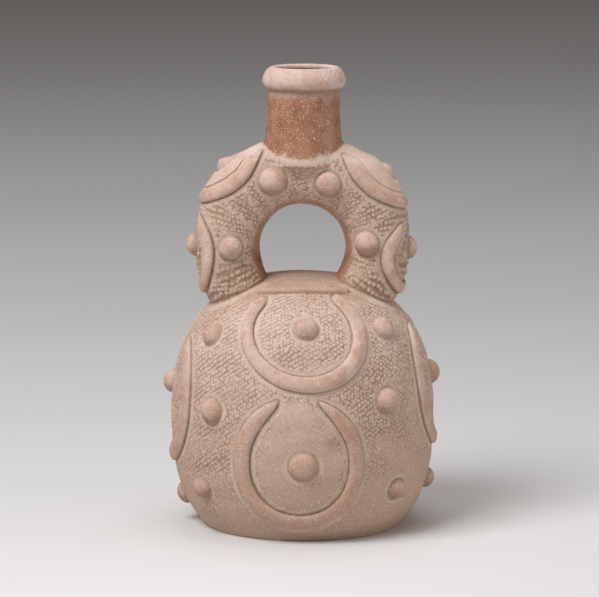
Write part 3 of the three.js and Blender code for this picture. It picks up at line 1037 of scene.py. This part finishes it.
final_points = read_points(bottle)
source, gap = nearest(tree_of(made_points), final_points, np.ones(len(final_points), bool))
outside = gap < PAINT_REACH
raised = ease(over_skin, 0.9 * mm, 2.2 * mm) * (1 - on_spout) * (1 - collar) * (z > 1 * mm)
pale_margin = ease(from_band, 0.7 * mm, 1.2 * mm) * (1 - ease(from_band, 2.4 * mm, 3.2 * mm))
boss_margin = ease(from_boss, 0.5 * mm, 0.8 * mm) * (1 - ease(from_boss, 1.8 * mm, 2.6 * mm))
dusty = np.maximum(pale_margin * (1 - discs), boss_margin) * ground * (1 - crown)
dusty = np.maximum(dusty, below_spout)
dusty = np.maximum(dusty, ground * (1 - foot_crease) * on_belly_skin * (np.abs(y) > 16 * mm))
dusty *= 0.75 + 0.25 * patches(points, 12 * mm, 41)
# Painted shade: the downward-facing skin round the foot of each boss is darkened.
boss_underside_shade = line_at(from_boss, -0.4 * mm, 1.3 * mm) * ease(-normals[:, 2], -0.1, 0.5)
boss_underside_shade *= z > 2 * mm
smudge = np.exp(-((x - 15 * mm) ** 2 + (z - 54.5 * mm) ** 2) / (2.8 * mm) ** 2) * (y < 0)
# Painted shade at the feet of the crescents, bosses and stirrup feet, under the bosses and in the
# drawn lines, with one real dark smudge on the front of the belly.
crease_shade_and_smudge = np.maximum.reduce([
    foot_of_band, foot_edge, 0.7 * foot_of_boss, 0.75 * boss_underside_shade, 0.6 * smudge,
    0.5 * lines, bar_line, 0.6 * disc_lines,
])
# Burnished skin on the neck and the arch's inner side; the fifth of it on the crown under the arch
# is painted shade.
burnish_and_crown_shade = np.clip(on_spout * (1 - lip) + inner_arch + 0.2 * crown, 0, 1)
# Painted shade: the stirrup and the crown under the arch are darkened to an olive brown, more down
# the legs.
olive_shade = np.maximum((0.3 + 0.35 * ease(np.abs(turn), 70, 105)) * ~on_belly_skin, 0.4 * crown)
olive_shade *= (1 - raised) * (1 - discs) * (1 - on_spout) * (z > 100 * mm)
under_lip = line_at(z, 226 * mm, 1.3 * mm) * on_spout
# Painted shade under the lip: a darker band round the neck below the lip's overhang.
lip_underside_shade = (1 - ease(z, 228.6 * mm, 230.6 * mm)) * ease(z, 226 * mm, 227.4 * mm) * on_spout
for name, values in (
    ("raised", raised),
    ("dusty", dusty),
    ("crease_shade_and_smudge", crease_shade_and_smudge),
    ("burnish_and_crown_shade", burnish_and_crown_shade),
    # Painted light and shade on the stipple: the bump tops lighter, a painted highlight with some
    # pale dust, and the gaps between them darker, a painted shade.
    ("tops", strength * np.clip(bump, 0, 1)),
    ("pits", strength * np.clip(1 - 1.7 * bump, 0, 1)),
    ("lip", np.maximum(lip, 0.4 * under_lip)),
    ("lip underside shade", lip_underside_shade),
    ("pocked", lip * pocked),
    ("olive_shade", olive_shade),
):
    paint(bottle, name, np.where(outside, values[source], 0))
# Painted shade: the walls of the hollow are darkened.
paint(bottle, "inside", 1.0 - outside)


def colour(red, green, blue):
    """A colour from its screen values, 0 to 255."""
    def linear(value):
        share = value / 255
        return share / 12.92 if share <= 0.04045 else ((share + 0.055) / 1.055) ** 2.4
    return (linear(red), linear(green), linear(blue), 1)


class Nodes:
    """Short ways to add and join the nodes of one material."""

    def __init__(self, name):
        self.material = bpy.data.materials.new(name)
        self.material.use_nodes = True
        self.tree = self.material.node_tree
        self.shader = next(n for n in self.tree.nodes if n.type == "BSDF_PRINCIPLED")
        self.place = self.tree.nodes.new("ShaderNodeTexCoord").outputs["Object"]

    def add(self, kind, inputs=(), **settings):
        """A node with its settings, and its inputs joined or set."""
        node = self.tree.nodes.new(kind)
        for name, value in settings.items():
            setattr(node, name, value)
        for name, value in dict(inputs).items():
            if isinstance(value, bpy.types.NodeSocket):
                self.tree.links.new(value, node.inputs[name])
            else:
                node.inputs[name].default_value = value
        return node

    def noise(self, size, detail=3.0, roughness=0.55):
        """Noise from 0 to 1, with features of about a size."""
        inputs = {"Vector": self.place, "Scale": 1 / size}
        inputs |= {"Detail": detail, "Roughness": roughness}
        return self.add("ShaderNodeTexNoise", inputs).outputs["Fac"]

    def range(self, value, low, high, to_low=0.0, to_high=1.0):
        """A value from one range to another, held at its ends."""
        inputs = {0: value, 1: low, 2: high, 3: to_low, 4: to_high}
        return self.add("ShaderNodeMapRange", inputs, interpolation_type="SMOOTHSTEP").outputs[0]

    def times(self, first, second):
        """Two values multiplied."""
        return self.add("ShaderNodeMath", {0: first, 1: second}, operation="MULTIPLY").outputs[0]

    def mix(self, share, first, second):
        """A share of the second colour over the first."""
        inputs = {0: share, 6: first, 7: second}
        return self.add("ShaderNodeMix", inputs, data_type="RGBA").outputs[2]

    def painted(self, name, share=1):
        """A value that the piece keeps at its vertices, or a share of it."""
        value = self.add("ShaderNodeAttribute", attribute_name=name).outputs["Fac"]
        return value if share == 1 else self.times(value, share)


def fired_clay():
    """Worn, unglazed buff clay with dust in its hollows, and painted light and shade on its
    stipple, creases, stirrup, lip and inside.
    """
    clay = Nodes("fired clay")
    grit = clay.noise(0.8 * mm, 4, 0.65)
    mottle = clay.noise(6 * mm, 4)
    cloud = clay.noise(30 * mm, 3)
    split = clay.add("ShaderNodeSeparateXYZ", {"Vector": clay.place})
    # Paler towards the top and browner towards the bottom: partly the clay's own tone, partly
    # painted light from above.
    height = clay.range(split.outputs["Z"], 20 * mm, 112 * mm)
    tint = clay.mix(height, colour(187, 160, 143), colour(218, 195, 184))
    scuffs = clay.range(clay.noise(9 * mm, 5, 0.6), 0.46, 0.62, 0.25, 0.85)
    scuffs = clay.times(scuffs, clay.range(height, 0.3, 1, 1, 0.85))
    burnish = clay.mix(clay.range(mottle, 0.35, 0.7), colour(170, 122, 96), colour(146, 100, 74))
    specks = clay.range(clay.noise(0.8 * mm, 1, 0.5), 0.63, 0.68)
    dark_specks = clay.range(clay.noise(1.1 * mm, 1, 0.5), 0.32, 0.27)
    worn_lip = colour(208, 184, 173), colour(200, 168, 152)
    worn_lip = clay.mix(clay.range(mottle, 0.42, 0.62), *worn_lip)
    for share, coat in (
        (clay.range(cloud, 0.38, 0.66, 0, 0.5), colour(192, 158, 138)),
        (clay.range(mottle, 0.35, 0.72, 0, 0.4), colour(184, 156, 132)),
        # painted olive shade on the stirrup and under the arch
        (clay.painted("olive_shade"), colour(158, 130, 104)),
        (clay.times(clay.painted("raised"), scuffs), colour(184, 140, 120)),
        # burnished skin, with painted shade on the crown
        (clay.painted("burnish_and_crown_shade"), burnish),
        (clay.painted("dusty", 0.6), colour(222, 202, 186)),
        # painted highlight on the bump tops, with pale dust, and painted shade in their gaps
        (clay.painted("tops", 0.45), colour(226, 200, 182)),
        (clay.painted("pits", 0.6), colour(134, 102, 78)),
        # painted shade in the creases and under the bosses, with the real smudge
        (clay.painted("crease_shade_and_smudge", 0.6), colour(112, 88, 60)),
        (clay.times(specks, 0.6), colour(232, 214, 198)),
        (clay.times(dark_specks, 0.5), colour(104, 74, 54)),
        (clay.painted("lip"), worn_lip),
        (clay.painted("pocked", 0.4), colour(226, 208, 196)),
        # painted shade under the lip
        (clay.painted("lip underside shade", 0.8), colour(146, 118, 92)),
        # painted shade inside the hollow
        (clay.painted("inside"), colour(120, 92, 72)),
    ):
        tint = clay.mix(share, tint, coat)
    clay.tree.links.new(tint, clay.shader.inputs["Base Color"])
    rough = clay.range(clay.painted("burnish_and_crown_shade"), 0, 1, 0.8, 0.38)
    clay.tree.links.new(rough, clay.shader.inputs["Roughness"])
    bump = clay.add(
        "ShaderNodeBump", {"Height": grit, "Strength": 0.5, "Distance": 0.2 * mm}
    )
    clay.tree.links.new(bump.outputs["Normal"], clay.shader.inputs["Normal"])
    clay.shader.inputs["Specular IOR Level"].default_value = 0.35
    return clay.material


bottle.data.materials.clear()
bottle.data.materials.append(fired_clay())
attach(bottle, "root")
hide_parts("vessel")

# ------------------------------------------------------------------------- the studio
# A plain pale floor, lit softly from the upper left, whose colour is painted to fall off into grey
# far behind, a painted falloff of the light.
# Places here are in metres.

FLOOR_SIZE = 24.0                # metres across
GREY_SPAN = 4.0                  # metres over which the floor greys
LIT_POINT = (0, 0, 0.12)
CAMERA_PLACE = (-0.0016, -1.740, 0.392)
SEEN_POINT = (-0.0016, 0, 0.11805)


def studio_floor():
    """Matt floor, near white in front of the bottle and painted greyer with distance, a painted
    falloff of the light.
    """
    floor_paint = Nodes("studio floor")
    inputs = {0: floor_paint.place, 1: (0, -0.3, 0)}
    length = floor_paint.add("ShaderNodeVectorMath", inputs, operation="DISTANCE")
    inputs = {0: length.outputs["Value"], 1: GREY_SPAN}
    far = floor_paint.add("ShaderNodeMath", inputs, operation="DIVIDE")
    ramp = floor_paint.add("ShaderNodeValToRGB", {"Fac": far.outputs[0]})
    # The grey of the floor is a painted falloff of the light with distance.
    stops = (
        (0.0, 0.765), (0.085, 0.69), (0.16, 0.62), (0.26, 0.575),
        (0.41, 0.61), (0.61, 0.69), (0.92, 0.71),
    )
    while len(ramp.color_ramp.elements) < len(stops):
        ramp.color_ramp.elements.new(0.5)
    for element, (place, grey) in zip(ramp.color_ramp.elements, stops):
        element.position = place
        element.color = (grey, grey, grey * 1.01, 1)
    floor_paint.tree.links.new(ramp.outputs["Color"], floor_paint.shader.inputs["Base Color"])
    floor_paint.shader.inputs["Roughness"].default_value = 0.9
    floor_paint.shader.inputs["Specular IOR Level"].default_value = 0.1
    return floor_paint.material


bpy.ops.object.select_all(action="DESELECT")
bpy.ops.mesh.primitive_plane_add(size=FLOOR_SIZE)
floor = bpy.context.object
floor.name = "floor"
floor.data.materials.append(studio_floor())


def soft_light(name, place, size, watts, tint=(1, 1, 1)):
    """A square soft box that faces the bottle's middle."""
    lamp = bpy.data.lights.new(name, "AREA")
    lamp.size = size
    lamp.energy = watts
    lamp.color = tint
    light = bpy.data.objects.new(name, lamp)
    light.location = place
    aim = Vector(LIT_POINT) - Vector(place)
    light.rotation_euler = aim.to_track_quat("-Z", "Y").to_euler()
    bpy.context.scene.collection.objects.link(light)


soft_light("key", (-1.0, -0.92, 1.75), 1.15, 42, (1, 0.98, 0.98))
soft_light("top", (0.1, 0.3, 1.9), 1.4, 12)
soft_light("fill", (1.4, -1.4, 0.7), 1.2, 4, (1, 0.88, 0.74))
soft_light("strip", (1.2, -0.2, 0.35), 0.35, 2.4)

world = bpy.data.worlds.new("studio")
world.use_nodes = True
background = world.node_tree.nodes["Background"]
background.inputs["Color"].default_value = (1, 0.93, 0.86, 1)
background.inputs["Strength"].default_value = 0.12
bpy.context.scene.world = world

camera_data = bpy.data.cameras.new("camera")
camera_data.lens = 202
camera_data.sensor_width = 36
camera = bpy.data.objects.new("camera", camera_data)
camera.location = CAMERA_PLACE
look = Vector(SEEN_POINT) - camera.location
camera.rotation_euler = look.to_track_quat("-Z", "Y").to_euler()
bpy.context.scene.collection.objects.link(camera)
bpy.context.scene.camera = camera
bpy.context.scene.view_settings.view_transform = "Standard"
